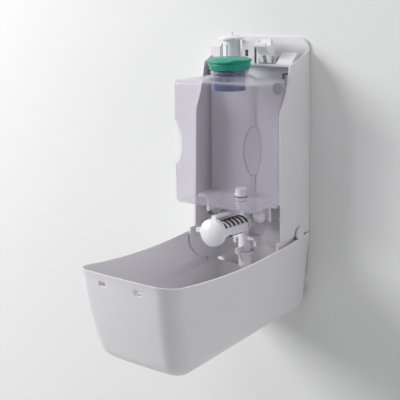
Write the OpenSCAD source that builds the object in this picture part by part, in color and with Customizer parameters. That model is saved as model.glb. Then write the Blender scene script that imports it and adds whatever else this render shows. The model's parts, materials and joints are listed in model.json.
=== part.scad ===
// Wall mounted soap dispenser, shown with its front cover swung down.
// Wall plane at y = 0, room side towards -y, +z up, millimetres.
// Heights named *_h are measured up from the bottom edge of the wall plate;
// the module on_wall() drops them so that the origin is the centre of the screw pattern.

/* [Wall plate] */
// Width of the wall plate along its bottom edge
plate_bottom_w = 129; // [122:1:150]
// Width of the wall plate at the top of its side walls
plate_top_w = 117.6; // [112:0.2:140]
// Height of the side walls where they meet the wall
plate_side_h = 252; // [240:1:300]
// Rise of the back panel above the side walls
crown_rise = 13; // [10:1:20]
// Depth of the side walls out from the wall
plate_depth = 53.8; // [48:0.2:60]
// How much each side wall leans in over the full depth
plate_draft = 5.2; // [3:0.1:7]
// Thickness of the plate and its side walls
plate_wall = 2; // [1.6:0.1:2.2]

/* [Wall screws] */
// Distance between the two columns of screw holes
screw_dx = 70; // [50:1:80]
// Distance between the upper and lower screw holes
screw_dz = 150; // [100:1:160]
// Diameter of a screw hole
screw_hole_d = 5.2; // [4:0.1:6.5]

/* [Cover] */
// Width of the cover at its lower end, next to the hinge
cover_hinge_w = 130; // [124:1:150]
// Width of the cover at its upper end
cover_tip_w = 118.4; // [114:0.2:140]
// How far the closed cover reaches above the back panel
cover_above_crown = 15.2; // [14:0.2:25]
// Depth of the cover from its rim to its front face
cover_depth = 95.5; // [90:0.5:110]
// Thickness of the cover
cover_wall = 2.2; // [1.6:0.1:2.6]
// How far the rim curves back towards the wall at the upper end
rim_rise = 8; // [2:0.5:10]
// Corner radius at the upper end of the cover
cover_corner_r = 20; // [12:1:26]

/* [Hinge] */
// Distance of the hinge axis from the wall
hinge_d = 22; // [20:0.5:24]
// Height of the hinge axis
hinge_h = 54; // [52:0.5:58]
// Diameter of a hinge pin
hinge_pin_d = 5; // [3:0.1:6]

/* [Bottle] */
// Width of the bottle
bottle_w = 104.8; // [96:0.2:105]
// Depth of the bottle
bottle_depth = 66; // [56:1:66]
// Height of the bottle from its base to its shoulder
bottle_body_h = 133; // [110:1:134]
// Wall of the bottle
bottle_wall = 1.4; // [1:0.1:2]
// Outside diameter of the filler neck
neck_d = 39; // [32:0.5:42]

/* [Filler cap] */
// Diameter of the cap's brim
cap_d = 47.6; // [46:0.2:56]

/* [Pump] */
// Angle by which the pump rises towards the room
pump_tilt = 3.5; // [0:0.5:5]
// Diameter of the piston
piston_d = 14; // [10:0.5:14]
// Diameter of the push dome
dome_d = 30; // [28:0.5:34]
// Travel of the push dome
stroke = 10; // [7:0.5:11]
// Wire diameter of the return spring
spring_wire = 1.8; // [1.2:0.1:1.8]
// Outside diameter of the outlet tube
outlet_d = 14.4; // [12:0.2:16]

/* [Latch] */
// Distance between the two latch posts and between the two key slots
latch_dx = 44; // [40:1:50]
// Diameter of the lock button's head
button_d = 28; // [22:0.5:30]

/* [Hidden] */
$fn = 64;
hull_fn = 32;
far = 400;

// Clearances
run = 0.05;        // radial, pin in its hole
slip = 0.3;        // between parts that slide past each other
rest_gap = 0.2;    // under and over a part that slides off

// Wall plate
rim_h = hinge_h - 3;               // rim of the open cover, near the hinge
screw_mid_h = 137;
taper = (plate_bottom_w - plate_top_w) / 2 / plate_side_h;
draft = plate_draft / plate_depth;
cheek_top_h = rim_h + 0.6;
cheek_r = 47;                      // arc of the cheeks about the hinge axis
cheek_inset = 6;                   // step in from the side wall to the cheek
side_top_d = 36.5;                 // depth of the side wall at its upper corner
side_top_h = plate_side_h - 14;
side_flare_h = plate_side_h - 63;  // where the side wall reaches its full depth
flare_angle = 24;                  // how far the curve of its front edge turns
crown_r = 13;
arch_rise = 26;
arch_w = plate_bottom_w - 16;

function side_half(h, d) = plate_bottom_w / 2 - taper * h - draft * d;

// Bottle
bottle_front_d = 100.4;
bottle_back_d = bottle_front_d - bottle_depth;
bottle_base_h = 91;
bottle_corner_r = 9;
shoulder_h = bottle_base_h + bottle_body_h;
neck_y = -(bottle_front_d - 33.4);
neck_base_h = shoulder_h + 3;
neck_top_h = shoulder_h + 15;
neck_wall = 2;
grip_r = 57;
grip_cut = 10.5;
grip_h = bottle_base_h + 66;

// Carrier frame behind the bottle
carrier_d = 24;
carrier_base_h = 62;
pump_hole_r = 10;
carrier_t = 2.5;
carrier_half = side_half(plate_side_h, 38) - plate_wall - 1.6;
shelf_h = 236;
shelf_d = bottle_back_d - 1.2;

// Cap
lip_t = 1;
gasket_t = 0.8;
cap_under_h = neck_top_h + lip_t + gasket_t;
cap_plate_t = 2.6;
cap_disc_r = cap_d / 2 - 5.6;
cap_disc_t = 3.6;
skirt_gap = 0.6;
skirt_t = 1.8;
skirt_l = 6.4;

// Pump, with s measured along its axis from the outlet tube towards the room
pump_y = -36;
pump_h = 60.2;
chamber_r = piston_d / 2 + run;
barrel_r = chamber_r + 1.25;
barrel_back_s = -12;
barrel_front_s = 50 - stroke;    // the dome's rim stops 10 short of the barrel
seat_s = 5;
seat_t = 2;
inlet_r = 4.5;
inlet_bore_r = 2.5;
inlet_top_h = 74;
port_y = -44;                    // the bottle's outlet port, just ahead of the pump inlet
port_r = 5;
port_l = 13;
port_drop = 2.4;                  // how far the port stands out below the bottle's base
seal_t = 1.5;
seal_h = bottle_base_h - port_drop - seal_t - 0.1;
dome_back_s = 60;
dome_rim_s = 66;
dome_rise = 6;
piston_s = barrel_front_s - 16;
piston_t = 6;
rod_r = 3.2;
spring_r = barrel_r + slip + spring_wire / 2;
spring_turns = 7;
arm_gap = 0.3;
arm_x = spring_r + spring_wire / 2 + arm_gap;
arm_t = 2;
arm_h = 9;
arm_back_s = 13;
outlet_r = outlet_d / 2;
outlet_bore_r = 4.5;
outlet_top_h = 48;
outlet_end_h = 10;
collar_h = 25;

// Latch
post_y = -29;
post_base_h = shelf_h + carrier_t;
button_h = 263;
button_stem_r = 9.5;
button_foot_h = post_base_h - 3;
spring_seat_h = button_foot_h - 4.5;
bracket_x = 8 - latch_dx / 2 + 7;
bracket_w = latch_dx / 2 - 8 - bracket_x;
bracket_depth = 16;
bracket_h = 24;
hook_w = 13;
hook_pin_r = 1.5;
hook_pin_d = 24;
hook_pin_h = post_base_h + 4;

// Cover, drawn open: its rim faces up and its upper end points into the room
floor_h = rim_h - cover_depth;
cover_back_y = -3.2;
plate_crown_h = plate_side_h + crown_rise;
cover_tip_y = hinge_h - hinge_d - plate_crown_h - cover_above_crown;
cover_len = cover_back_y - cover_tip_y;
cover_lean = 23;                   // slope of the upper end over the cover's depth
cover_back_lean = 4;               // slope of the lower end over the cover's depth
floor_inset = 6;                   // how far the sides lean in over the cover's depth
back_corner_r = 5;
floor_r = 15;
tip_bulge = 3;
rim_low_d = 105;                   // where the sagging rim is lowest
rim_dip = 6;                       // sag of the rim below its height at the hinge
ear_root = 5;                      // how far the hinge ears reach down into the side walls
ear_r = 7.5;
slot_w = 9;
slot_high = 5;
slot_drop = 11;                    // below the rim at the upper end
chin_h = -3;                       // the lower end is open above this height
chin_w = plate_bottom_w - 2 * cheek_inset + 1.6;
panel_w = 76;
panel_back_d = 26;
panel_front_d = 96;
panel_gap = 1;
panel_t = 2.4;
panel_pivot_d = panel_front_d - 6;
panel_pin_r = 2;
panel_pivot_h = floor_h + panel_t + 6;
press_d = hinge_d + pump_front_h() - hinge_h;
press_gap = 1.2;
catch_t = 3;
catch_reach = 18;                  // how far the catch stands in from the upper end of the rim
catch_h = rim_h - 9.5;

// Height of the catch bar's lower edge when the cover is closed
function catch_bottom_h() = hinge_h - cover_tip_y - catch_reach - hinge_d;

function cover_half(d) = cover_hinge_w / 2
    - (cover_hinge_w - cover_tip_w) / 2 * (d + cover_back_y) / cover_len;
function pump_front_s() = dome_rim_s + dome_rise;
function pump_front_h() = pump_h + pump_front_s() * sin(pump_tilt);
function pump_front_d() = -pump_y + pump_front_s() * cos(pump_tilt);

module on_wall() {
    translate([0, 0, -screw_mid_h]) children();
}

module both_sides() {
    children();
    mirror([1, 0, 0]) children();
}

// Draws a 2D shape whose x is the distance from the wall and whose y is the height,
// as a solid of width w centred on the object's middle plane.
module side_on(w) {
    rotate([90, 0, -90]) linear_extrude(w, center = true) children();
}

module round_rect(w, d, r) {
    square([w - 2 * r, d], center = true);
    square([w, d - 2 * r], center = true);
    for (x = [-1, 1], y = [-1, 1]) translate([x * (w / 2 - r), y * (d / 2 - r)]) circle(r);
}

// ---- wall plate ----

// A flat slab that follows the outer face of the right side wall, inset by gap, t thick
module side_slab(gap, t) {
    translate([plate_bottom_w / 2 - gap, 0, 0])
        rotate([0, -atan(taper), 0])
            rotate([0, 0, -atan(draft)])
                translate([-t, -far / 2, -far / 4]) cube([t, far, 2 * far]);
}

module upper_side_outline() {
    difference() {
        polygon([[0, cheek_top_h], [plate_depth, cheek_top_h], [plate_depth, side_flare_h],
                 [side_top_d, side_top_h], [0, plate_side_h]]);
        flare_cut();
    }
}

// The concave curve that thins the side wall towards its upper corner
module flare_cut() {
    chord = [side_top_d - plate_depth, side_top_h - side_flare_h];
    r = norm(chord) / 2 / sin(flare_angle / 2);
    reach = r * cos(flare_angle / 2) / norm(chord);
    translate([plate_depth, side_flare_h] + chord / 2 + reach * [chord[1], -chord[0]])
        circle(r, $fn = 180);
}

module cheek_outline() {
    intersection() {
        polygon([[0, 0], [27, 3], [plate_depth + 9, 18], [plate_depth + 9, cheek_top_h], [0, cheek_top_h]]);
        union() {
            translate([hinge_d, hinge_h]) circle(cheek_r, $fn = 120);
            square([27, cheek_top_h]);
        }
    }
}

module back_outline() {
    half_top = side_half(plate_side_h, 0);
    polygon([[-plate_bottom_w / 2, 0], [plate_bottom_w / 2, 0], [half_top, plate_side_h],
             [half_top - crown_r, plate_crown_h], [crown_r - half_top, plate_crown_h],
             [-half_top, plate_side_h]]);
    for (x = [-1, 1]) translate([x * (half_top - crown_r), plate_crown_h - crown_r]) circle(crown_r);
}

module back_plate() on_wall() color("gainsboro") difference() {
    arch_r = (arch_w * arch_w / 4 + arch_rise * arch_rise) / 2 / arch_rise;
    union() {
        rotate([90, 0, 0]) linear_extrude(plate_wall) difference() {
            back_outline();
            translate([0, arch_rise - arch_r]) circle(arch_r, $fn = 120);
        }
        shoulder_block();
        both_sides() {
            intersection() {
                side_on(far) upper_side_outline();
                side_slab(0, plate_wall);
            }
            intersection() {
                side_on(far) cheek_outline();
                translate([plate_bottom_w / 2 - cheek_inset - plate_wall, -far / 2, -far / 2])
                    cube([plate_wall, far, far]);
            }
            cheek_step();
            hinge_boss();
            screw_bosses();
        }
    }
    screw_holes();
    translate([0, -hinge_d, hinge_h]) rotate([0, 90, 0])
        cylinder(d = hinge_pin_d + 2 * run, h = far, center = true);
}

// Raised block in the upper left corner
module shoulder_block() {
    w = 12;
    translate([w / 2 - side_half(plate_side_h, 20) + plate_wall / 2, 0, 0]) side_on(w)
        polygon([[0, plate_side_h - 12], [20, plate_side_h - 12],
                 [20, plate_side_h + 2], [14, plate_side_h + 6],
                 [0, plate_side_h + 6]]);
}

// The ledge that closes the step between the side wall and the cheek below it
module cheek_step() {
    inner = plate_bottom_w / 2 - cheek_inset - plate_wall;
    difference() {
        translate([inner, -plate_depth, cheek_top_h])
            cube([side_half(cheek_top_h, 0) - inner, plate_depth, plate_wall]);
        side_slab(-20, 20);
    }
}

module hinge_boss() {
    inner = side_half(hinge_h, hinge_d) - plate_wall - 7;
    translate([inner, -hinge_d, hinge_h]) rotate([0, 90, 0])
        cylinder(r = hinge_pin_d / 2 + 3, h = 8);
}

module screw_holes() {
    for (x = [-1, 1], z = [-1, 1])
        translate([x * screw_dx / 2, 1, screw_mid_h + z * screw_dz / 2]) rotate([90, 0, 0])
            cylinder(d = screw_hole_d, h = plate_wall + 20);
}

module screw_bosses() {
    for (z = [-1, 1]) translate([screw_dx / 2, -plate_wall, screw_mid_h + z * screw_dz / 2])
        rotate([90, 0, 0]) cylinder(d = screw_hole_d + 6, h = 2);
}

// ---- inside the wall plate ----

module carrier_frame() on_wall() color("whitesmoke") {
    back_y = -carrier_d - carrier_t;
    difference() {
        union() {
            // wall behind the bottle, its top shelf and its bottom shelf
            translate([-carrier_half, back_y, carrier_base_h])
                cube([2 * carrier_half, carrier_t, shelf_h - carrier_base_h]);
            translate([-carrier_half, -shelf_d, shelf_h])
                cube([2 * carrier_half, shelf_d - plate_wall, carrier_t]);
            both_sides() carrier_rib();
            both_sides() bottle_ledge();
            pump_pocket();
        }
        // hole for the back of the pump
        translate([-pump_hole_r, back_y - 1, carrier_base_h - 1])
            cube([2 * pump_hole_r, carrier_t + 2, pump_h + pump_hole_r - carrier_base_h + 1]);
        screw_access();
        translate([-latch_dx / 2, post_y, spring_seat_h]) cylinder(r = button_stem_r + slip, h = 20);
    }
    translate([-latch_dx / 2, post_y, spring_seat_h - 2]) cylinder(r = 5, h = 2);
    hook_ear();
    side_block();
}

// Ear that holds the outer end of the hook's pin
module hook_ear() {
    difference() {
        translate([latch_dx / 2 + hook_w / 2 + 1.5, -hook_pin_d - 4, post_base_h]) cube([2.5, 8, 8]);
        hook_axis() cylinder(r = hook_pin_r + run, h = far, center = true);
    }
}

// Block with a sloping front, beside the hook
module side_block() {
    translate([latch_dx / 2 + 23, 0, 0]) side_on(18)
        polygon([[33, post_base_h], [20, post_base_h + 11], [10, post_base_h + 11], [8, post_base_h]]);
}

// Ribs that stand the carrier off the back panel
module carrier_rib() {
    translate([carrier_half - 6, -carrier_d, carrier_base_h])
        cube([carrier_t, carrier_d - plate_wall, shelf_h - carrier_base_h]);
}

// Ledges that carry the bottle's base on both sides of the pump
module bottle_ledge() {
    translate([carrier_half - 12, -bottle_back_d - 20, bottle_base_h - 3 - rest_gap])
        cube([12, bottle_back_d + 20 - carrier_d, 3]);
    translate([carrier_half - 12, -bottle_back_d - 16, bottle_base_h - 20])
        cube([3, bottle_back_d + 16 - carrier_d, 18]);
}

// Round boss beside the outlet tube
module pump_pocket() {
    translate([18, -carrier_d - carrier_t, carrier_base_h + 8]) rotate([90, 0, 0])
        cylinder(r = 8, h = 9);
}

module screw_access() {
    for (x = [-1, 1], z = [-1, 1])
        translate([x * screw_dx / 2, -carrier_d + 5, screw_mid_h + z * screw_dz / 2])
            rotate([90, 0, 0]) cylinder(d = screw_hole_d + 8, h = 20);
}

module latch_bracket() on_wall() color("white") {
    difference() {
        translate([bracket_x, post_y - 2, post_base_h]) cube([bracket_w, bracket_depth, bracket_h]);
        translate([bracket_x + 2, post_y, post_base_h - 1])
            cube([bracket_w - 4, bracket_depth - 4, bracket_h - 1]);
        // upright slot and square window in the front
        translate([bracket_x + bracket_w - 6, post_y - 3, post_base_h]) cube([3, 4, 17]);
        translate([bracket_x + 3.5, post_y - 3, post_base_h + 7]) cube([4, 4, 7]);
        hook_axis() cylinder(r = hook_pin_r + run, h = far, center = true);
    }
}

module hinge_pins() on_wall() color("silver") both_sides() {
    inner = side_half(hinge_h, hinge_d) - plate_wall - 6.5;
    outer = cover_half(hinge_d) - 0.4;
    translate([inner, -hinge_d, hinge_h]) rotate([0, 90, 0])
        cylinder(d = hinge_pin_d, h = outer - inner);
}

// Small hooks on the carrier that hold the bottle's back shoulders
module bottle_clips() on_wall() color("gray") both_sides() {
    x = carrier_half - 4;
    translate([x, -bottle_back_d - 5, shoulder_h + 4])
        cube([3, bottle_back_d + 5 - carrier_d - carrier_t, 2]);
    translate([x, -bottle_back_d - 5, shoulder_h + rest_gap]) cube([3, 1.6, 4]);
    translate([x, -carrier_d - carrier_t - 1.4, shoulder_h - 8]) cube([3, 1.4, 12]);
}

// ---- pump ----

// Places children on the pump's axis: their +z points to the room along it
module on_pump(s = 0) {
    translate([0, pump_y, pump_h]) rotate([90 - pump_tilt, 0, 0]) translate([0, 0, s]) children();
}

module pump_holder() on_wall() color("white") {
    holder_h = 4;
    y = -carrier_d - carrier_t;
    difference() {
        union() {
            translate([-15, y - 14, outlet_top_h - 2 - holder_h]) cube([30, 14, holder_h]);
            both_sides() translate([12, y - 10, outlet_top_h - 14]) cube([3, 10, 9]);
        }
        translate([0, pump_y, 0]) cylinder(r = outlet_r + run, h = far);
    }
}

module pump_body() on_wall() color("white") difference() {
    union() {
        on_pump(barrel_back_s) cylinder(r = barrel_r, h = barrel_front_s - barrel_back_s);
        on_pump(seat_s) cylinder(r = spring_r + spring_wire / 2, h = seat_t);
        translate([0, pump_y, outlet_top_h]) cylinder(r = outlet_r - 1.2, h = pump_h - outlet_top_h);
        inlet_elbow();
    }
    on_pump(barrel_back_s + 2) cylinder(r = chamber_r, h = barrel_front_s - barrel_back_s - 4);
    on_pump(barrel_front_s - 3) cylinder(r = rod_r + run, h = 4);
    translate([0, pump_y, outlet_top_h - 1]) cylinder(r = outlet_bore_r, h = pump_h - outlet_top_h);
    translate([0, pump_y, pump_h]) cylinder(r = inlet_bore_r, h = 40);
}

// Round boss on top of the barrel that takes the inlet spigot
module inlet_elbow() {
    translate([0, pump_y, pump_h]) cylinder(r = inlet_r, h = inlet_top_h - pump_h);
}

// Elbow that leads from the bottle's port to the pump's inlet
module inlet_spigot() on_wall() color("ivory") difference() {
    mid_h = (inlet_top_h + seal_h) / 2;
    union() {
        translate([0, pump_y, inlet_top_h]) cylinder(r = inlet_r, h = mid_h - inlet_top_h);
        translate([0, 0, mid_h - 3]) linear_extrude(6) {
            for (y = [pump_y, port_y]) translate([0, y]) circle(inlet_r);
            translate([-inlet_r, port_y]) square([2 * inlet_r, pump_y - port_y]);
        }
        translate([0, port_y, mid_h]) cylinder(r = inlet_r, h = seal_h - mid_h);
        translate([0, port_y, seal_h - 2]) cylinder(r = port_r + 2, h = 2);
    }
    translate([0, pump_y, inlet_top_h - 1]) cylinder(r = inlet_bore_r, h = mid_h - inlet_top_h + 2.5);
    translate([0, pump_y, mid_h]) rotate([90, 0, 0])
        cylinder(r = inlet_bore_r - 0.8, h = pump_y - port_y);
    translate([0, port_y, mid_h - 1.5]) cylinder(r = inlet_bore_r, h = far);
}

// Ring that the bottle's port stands on
module inlet_seal() on_wall() color("dimgray") translate([0, port_y, seal_h]) difference() {
    cylinder(r = port_r + 2, h = seal_t);
    translate([0, 0, -1]) cylinder(r = port_r, h = seal_t + 2);
}

// Check ball in the pump's inlet
module inlet_ball() on_wall() color("silver") translate([0, pump_y, inlet_top_h - 4])
    sphere(r = inlet_bore_r - run);

module outlet_tube() on_wall() color("white") difference() {
    union() {
        translate([0, pump_y, outlet_end_h]) cylinder(r = outlet_r, h = outlet_top_h - outlet_end_h);
        // web along the front of the tube, and its round collar
        side_on(2.4) polygon([[-pump_y, outlet_end_h + 6], [-pump_y + outlet_r, outlet_end_h + 6],
                              [-pump_y + outlet_r + 12, outlet_top_h - 14], [-pump_y, outlet_top_h - 14]]);
        translate([0, pump_y, collar_h]) cylinder(r = outlet_r + 4, h = 2.4);
    }
    translate([0, pump_y, outlet_end_h - 1]) cylinder(r = outlet_bore_r, h = far);
}

// Rubber duckbill that closes the end of the outlet tube
module outlet_valve() on_wall() color("lightgray") translate([0, pump_y, outlet_end_h]) {
    difference() {
        union() {
            translate([0, 0, -2]) cylinder(r = outlet_r - 1, h = 2);
            cylinder(r = outlet_bore_r - run, h = 6);
            translate([0, 0, -8]) cylinder(r1 = 2.4, r2 = outlet_r - 2.6, h = 6);
        }
        translate([0, 0, -7]) cylinder(r = 1.6, h = 14);
        translate([-4, -0.3, -9]) cube([8, 0.6, 5]);
    }
}

// Point on a coil at turn fraction t of n turns
function coil_point(r, length, n, t) = [r * cos(360 * n * t), r * sin(360 * n * t), length * t];

// Closed wire of a coil spring along +z, made of rings of sides points
module coil(r, length, n, wire, sides = 8) {
    steps = 14 * n;
    rings = [for (i = [0 : steps])
        let (t = i / steps, p = coil_point(r, length, n, t), a = 360 * n * t)
            for (k = [0 : sides - 1])
                let (b = 360 * k / sides)
                    p + wire / 2 * [cos(b) * cos(a), cos(b) * sin(a), sin(b)]];
    walls = [for (i = [0 : steps - 1], k = [0 : sides - 1])
        let (q = (k + 1) % sides)
            [i * sides + k, (i + 1) * sides + k, (i + 1) * sides + q, i * sides + q]];
    ends = [[for (k = [0 : sides - 1]) k], [for (k = [sides - 1 : -1 : 0]) steps * sides + k]];
    polyhedron(rings, concat(walls, ends));
}

module pump_spring() on_wall() color("#202020")
    on_pump(seat_s + seat_t + spring_wire / 2)
        coil(spring_r, dome_back_s - seat_s - seat_t - spring_wire, spring_turns, spring_wire);

module push_dome() on_wall() color("white") difference() {
    union() {
        on_pump(dome_back_s) cylinder(r = dome_d / 2, h = dome_rim_s - dome_back_s);
        on_pump(dome_rim_s) dome_cap(dome_d / 2, dome_rise);
        both_sides() guide_arm();
        top_finger();
        side_lug();
    }
    on_pump(dome_back_s - 1) cylinder(r = rod_r + run, h = 7);
}

// Shallow spherical cap of radius r at its base, h high
module dome_cap(r, h) {
    ball_r = (r * r + h * h) / 2 / h;
    intersection() {
        translate([0, 0, h - ball_r]) sphere(ball_r, $fn = 96);
        cylinder(r = r, h = h);
    }
}

// Guide arm that runs back beside the spring, with a shallow notch in its lower edge
module guide_arm() {
    difference() {
        on_pump(arm_back_s) translate([arm_x, -arm_h / 2, 0])
            cube([arm_t, arm_h, dome_back_s - arm_back_s + 1]);
        on_pump(dome_back_s - 16) translate([arm_x - 1, -arm_h / 2 - 1, 0]) cube([arm_t + 2, 2, 8]);
    }
}

// Finger over the spring, carried by the rim of the dome
module top_finger() {
    on_pump(dome_back_s - 22) translate([-3, dome_d / 2 + 0.5, 0]) cube([6, 2.6, 23]);
    on_pump(dome_back_s) translate([-3, dome_d / 2 - 3, 0]) cube([6, 6.1, 3]);
}

module side_lug() {
    on_pump(dome_back_s) translate([-dome_d / 2 - 7, -2.5, 0]) cube([10, 5, 4]);
}

module plunger_rod() on_wall() color("silver")
    on_pump(piston_s + piston_t) cylinder(r = rod_r, h = dome_back_s + 5 - piston_s - piston_t);

module piston() on_wall() color("white") on_pump(piston_s) difference() {
    cylinder(d = piston_d - 0.4, h = piston_t);
    translate([0, 0, 2]) difference() {
        cylinder(d = piston_d + 1, h = 2);
        translate([0, 0, -1]) cylinder(d = piston_d - 3, h = 4);
    }
}

module piston_seal() on_wall() color("dimgray") on_pump(piston_s + 2) difference() {
    cylinder(d = piston_d, h = 2);
    translate([0, 0, -1]) cylinder(d = piston_d - 3, h = 4);
}

// ---- latch ----

module lock_button() on_wall() color("white") translate([-latch_dx / 2, post_y, 0]) difference() {
    union() {
        translate([0, 0, button_foot_h]) cylinder(r = button_stem_r, h = button_h - button_foot_h);
        translate([0, 0, button_h]) cylinder(d = button_d, h = 2);
        translate([0, 0, button_h + 2]) dome_cap(button_d / 2, 3);
        translate([0, 0, button_h + 4]) cylinder(r = 1.2, h = 4);
    }
    // slit down the stem
    translate([-0.8, -button_stem_r - 1, button_foot_h - 1]) cube([1.6, 8, button_h - button_foot_h - 5]);
    translate([0, 0, button_foot_h - 1]) cylinder(r = button_stem_r - 3, h = 12);
}

module button_spring() on_wall() color("silver")
    translate([-latch_dx / 2, post_y, spring_seat_h + 0.5])
        coil(4.4, button_foot_h + 11 - spring_seat_h - 1, 5, 0.9, 6);

module hook_axis() {
    translate([latch_dx / 2, -hook_pin_d, hook_pin_h]) rotate([0, 90, 0]) children();
}

module hook_pin() on_wall() color("silver") hook_axis()
    cylinder(r = hook_pin_r, h = hook_w + 7.6, center = true);

// Side view of the hook: a low lip towards the room, a notch, and a spike towards the wall.
// The cover's catch bar passes over the lip; tilted back, the lip stands in front of the bar.
module hook_outline() {
    base_h = post_base_h + 1;
    lip_h = catch_bottom_h() - 1.1;
    difference() {
        polygon([[21, base_h], [31, base_h], [34, base_h + 9], [42.5, lip_h - 4], [42.5, lip_h - 1],
                 [39.8, lip_h], [38.6, lip_h - 3.5], [31, lip_h - 3.5],
                 [30.6, lip_h + 3.3], [28, lip_h + 3.3],
                 [22.5, base_h + 14]]);
        translate([hook_pin_d, hook_pin_h]) circle(r = hook_pin_r + run);
    }
}

module latch_hook() on_wall() color("white") translate([latch_dx / 2, 0, 0]) difference() {
    side_on(hook_w) hook_outline();
    // gap between its two legs
    translate([-hook_w / 6, -far / 2, post_base_h]) cube([hook_w / 3, far, 9]);
}

// ---- cover ----

// Solid block of the cover's outer shape, or of its inside when inset is the wall thickness.
// It reaches above the rim, which is cut off afterwards.
module cover_block(inset) {
    over = rim_rise + 3;
    k = over / cover_depth;
    back_half = cover_half(-cover_back_y);
    tip_half = cover_half(-cover_tip_y);
    top_h = rim_h + over;
    hull() {
        for (x = [-1, 1]) {
            translate([x * (back_half + floor_inset * k - back_corner_r),
                       cover_back_y + cover_back_lean * k - back_corner_r, top_h])
                cylinder(r = back_corner_r - inset, h = 1, $fn = hull_fn);
            translate([x * (tip_half + floor_inset * k - cover_corner_r),
                       cover_tip_y - cover_lean * k + cover_corner_r, top_h])
                cylinder(r = cover_corner_r - inset, h = 1, $fn = hull_fn);
            translate([x * (back_half - floor_inset - floor_r),
                       cover_back_y - cover_back_lean - floor_r, floor_h + floor_r])
                sphere(floor_r - inset, $fn = hull_fn);
            translate([x * (tip_half - floor_inset - floor_r),
                       cover_tip_y + cover_lean + floor_r, floor_h + floor_r])
                sphere(floor_r - inset, $fn = hull_fn);
        }
        translate([0, cover_tip_y - cover_lean * k - tip_bulge + cover_corner_r, top_h])
            cylinder(r = cover_corner_r - inset, h = 1, $fn = hull_fn);
        translate([0, cover_tip_y + cover_lean - tip_bulge + floor_r, floor_h + floor_r])
            sphere(floor_r - inset, $fn = hull_fn);
    }
}

// Everything above the rim's curve
module above_rim() side_on(far) {
    reach = -cover_tip_y - rim_low_d;
    lift = rim_rise + rim_dip;
    curve_r = (reach * reach + lift * lift) / 2 / lift;
    translate([-far / 4, rim_h]) square([far / 4 + rim_low_d, far / 4]);
    intersection() {
        translate([-far / 4, rim_h - rim_dip - 1]) square([far * 1.25, far / 4]);
        translate([rim_low_d, rim_h - rim_dip + curve_r]) circle(curve_r, $fn = 720);
    }
}

module cover_shell() on_wall() color("#D5D3DA") difference() {
    union() {
        difference() {
            cover_block(0);
            cover_block(cover_wall);
            above_rim();
        }
        both_sides() hinge_ear();
        both_sides() pivot_bracket();
    }
    // hinge holes
    translate([-far / 2, -hinge_d, hinge_h]) rotate([0, 90, 0])
        cylinder(d = hinge_pin_d + 2 * run, h = far);
    // key slots
    for (x = [-1, 1]) translate([x * latch_dx / 2 - slot_w / 2, cover_tip_y - 10,
                                 rim_h + rim_rise - slot_drop - slot_high / 2])
        cube([slot_w, 25, slot_high]);
    // the lower end is open around the foot of the wall plate
    translate([-chin_w / 2, -hinge_d, chin_h]) cube([chin_w, 2 * hinge_d, far]);
    // opening for the push panel
    translate([0, 0, floor_h - 1]) linear_extrude(cover_wall + 2) panel_outline(panel_gap);
    translate([-far / 2, -panel_pivot_d, panel_pivot_h]) rotate([0, 90, 0])
        cylinder(r = panel_pin_r + run, h = far / 2 + panel_w / 2 + 7);
}

module hinge_ear() {
    translate([cover_half(hinge_d) - cover_wall, -hinge_d, hinge_h]) rotate([0, 90, 0])
        cylinder(r = ear_r, h = cover_wall);
    translate([cover_half(hinge_d) - cover_wall, -hinge_d - ear_r, rim_h - ear_root])
        cube([cover_wall - 0.1, 2 * ear_r, hinge_h - rim_h + ear_root]);
}

// Bracket beside the opening that holds a pivot pin of the push panel
module pivot_bracket() {
    translate([panel_w / 2 + panel_gap + 1, -panel_pivot_d - 5, floor_h + 1])
        cube([5, 10, panel_pivot_h - floor_h + 4]);
}

// Outline of the push panel in plan, grown by gap
module panel_outline(gap) {
    translate([0, -(panel_back_d + panel_front_d) / 2])
        round_rect(panel_w + 2 * gap, panel_front_d - panel_back_d + 2 * gap, 8);
}

// Ledge inside the upper end that the latch hook holds
module catch_bar() on_wall() color("#C9C7CE")
    intersection() {
        cover_block(cover_wall);
        translate([latch_dx / 2 - 9, cover_tip_y - 10, catch_h])
            cube([18, catch_reach + 10, catch_t]);
    }

module panel_pins() on_wall() color("silver") both_sides()
    translate([panel_w / 2 - 8, -panel_pivot_d, panel_pivot_h]) rotate([0, 90, 0])
        cylinder(r = panel_pin_r, h = 8 + panel_gap + 6);

module push_panel() on_wall() color("#C9C7CE") difference() {
    lug_x = panel_w / 2 - 9;
    panel_inner_d = hinge_d + hinge_h - floor_h - panel_t;
    union() {
        translate([0, 0, floor_h]) linear_extrude(panel_t) panel_outline(0);
        translate([0, -press_d, floor_h])
            cylinder(r = 6, h = panel_t + panel_inner_d - pump_front_d() - press_gap);
        both_sides() translate([lug_x, -panel_pivot_d - 4, floor_h + 1])
            cube([6, 8, panel_pivot_h - floor_h + 3]);
        // stiffening ribs
        for (x = [-1, 1]) translate([x * 14 - 1, -panel_pivot_d, floor_h + 1])
            cube([2, panel_pivot_d - press_d, 4]);
    }
    translate([-far / 2, -panel_pivot_d, panel_pivot_h]) rotate([0, 90, 0])
        cylinder(r = panel_pin_r + run, h = far);
}

// ---- bottle ----

bottle_mid_y = -(bottle_front_d - bottle_depth / 2);

module bottle_block(inset) {
    w = bottle_w - 2 * inset;
    d = bottle_depth - 2 * inset;
    r = bottle_corner_r - inset;
    edge = 5;
    translate([0, bottle_mid_y, bottle_base_h + inset])
        linear_extrude(bottle_body_h - edge - inset) round_rect(w, d, r);
    hull() {
        translate([0, bottle_mid_y, shoulder_h - edge - 1]) linear_extrude(1)
            round_rect(w, d, r, $fn = hull_fn);
        translate([0, bottle_mid_y, shoulder_h - inset - 0.1]) linear_extrude(0.1)
            round_rect(w - edge, d - edge, r - 1, $fn = hull_fn);
        translate([0, neck_y, neck_base_h - inset - 0.1])
            cylinder(r = neck_d / 2 + 2 - inset, h = 0.1, $fn = hull_fn);
    }
}

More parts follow.
